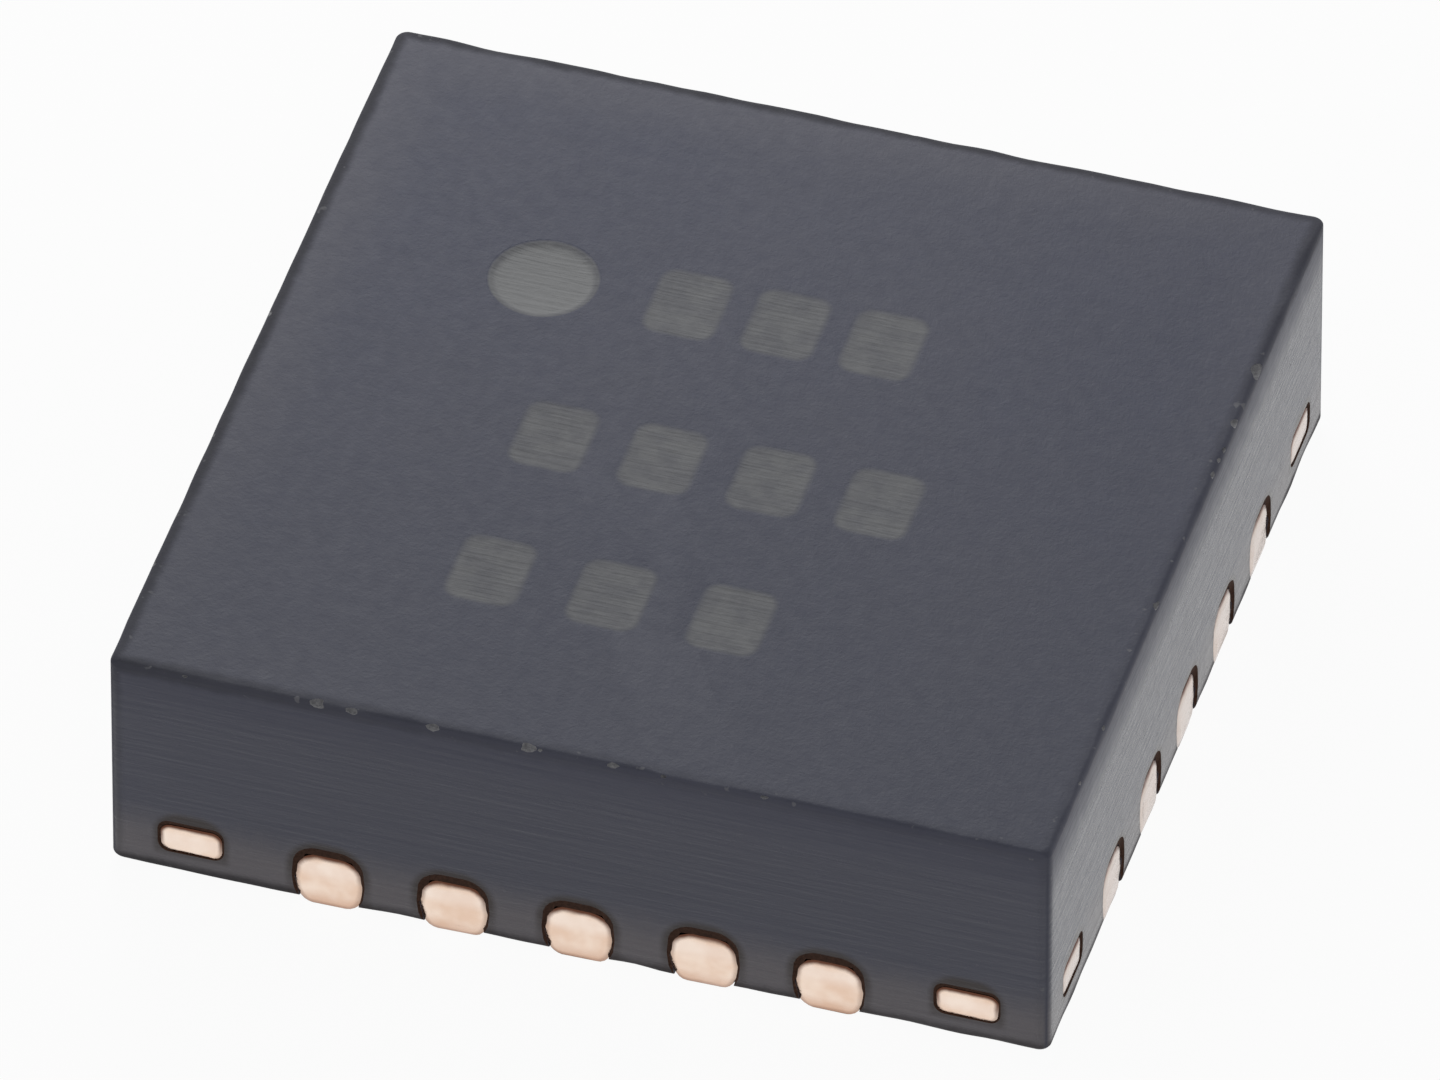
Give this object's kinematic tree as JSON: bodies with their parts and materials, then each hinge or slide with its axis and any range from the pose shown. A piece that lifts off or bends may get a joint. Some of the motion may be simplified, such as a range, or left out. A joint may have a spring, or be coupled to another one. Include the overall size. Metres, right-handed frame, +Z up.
{
  "type": "quad flat no-lead chip",
  "caption": "Square black moulded chip package with sawn copper terminals flush along its four walls, an exposed die pad underneath and a pin 1 dot on top.",
  "frame": {"origin": "centre of the seating plane, on the undersides of the terminals and the die pad", "axes": "+Z up out of the top face, +X to the right along the front wall, +Y to the back wall; terminal 1 is at the back end of the left wall"},
  "size_m": [0.003, 0.003, 0.0009],
  "materials": {
    "mould_compound": "matte charcoal epoxy moulding compound",
    "leadframe_copper": "etched copper alloy, bright where sawn, matte tin underneath",
    "die_glue": "silver-filled epoxy",
    "silicon": "polished silicon",
    "bond_gold": "drawn gold wire"
  },
  "bodies": {
    "root": {"mould_body": "mould_compound", "die_pad": "leadframe_copper", "die_attach": "die_glue", "die": "silicon", "terminal_01": "leadframe_copper", "terminal_02": "leadframe_copper", "terminal_03": "leadframe_copper", "terminal_04": "leadframe_copper", "terminal_05": "leadframe_copper", "terminal_06": "leadframe_copper", "terminal_07": "leadframe_copper", "terminal_08": "leadframe_copper", "terminal_09": "leadframe_copper", "terminal_10": "leadframe_copper", "terminal_11": "leadframe_copper", "terminal_12": "leadframe_copper", "terminal_13": "leadframe_copper", "terminal_14": "leadframe_copper", "terminal_15": "leadframe_copper", "terminal_16": "leadframe_copper", "terminal_17": "leadframe_copper", "terminal_18": "leadframe_copper", "terminal_19": "leadframe_copper", "terminal_20": "leadframe_copper", "bond_wire_01": "bond_gold", "bond_wire_02": "bond_gold", "bond_wire_03": "bond_gold", "bond_wire_04": "bond_gold", "bond_wire_05": "bond_gold", "bond_wire_06": "bond_gold", "bond_wire_07": "bond_gold", "bond_wire_08": "bond_gold", "bond_wire_09": "bond_gold", "bond_wire_10": "bond_gold", "bond_wire_11": "bond_gold", "bond_wire_12": "bond_gold", "bond_wire_13": "bond_gold", "bond_wire_14": "bond_gold", "bond_wire_15": "bond_gold", "bond_wire_16": "bond_gold", "bond_wire_17": "bond_gold", "bond_wire_18": "bond_gold", "bond_wire_19": "bond_gold", "bond_wire_20": "bond_gold"}
  },
  "joints": []
}
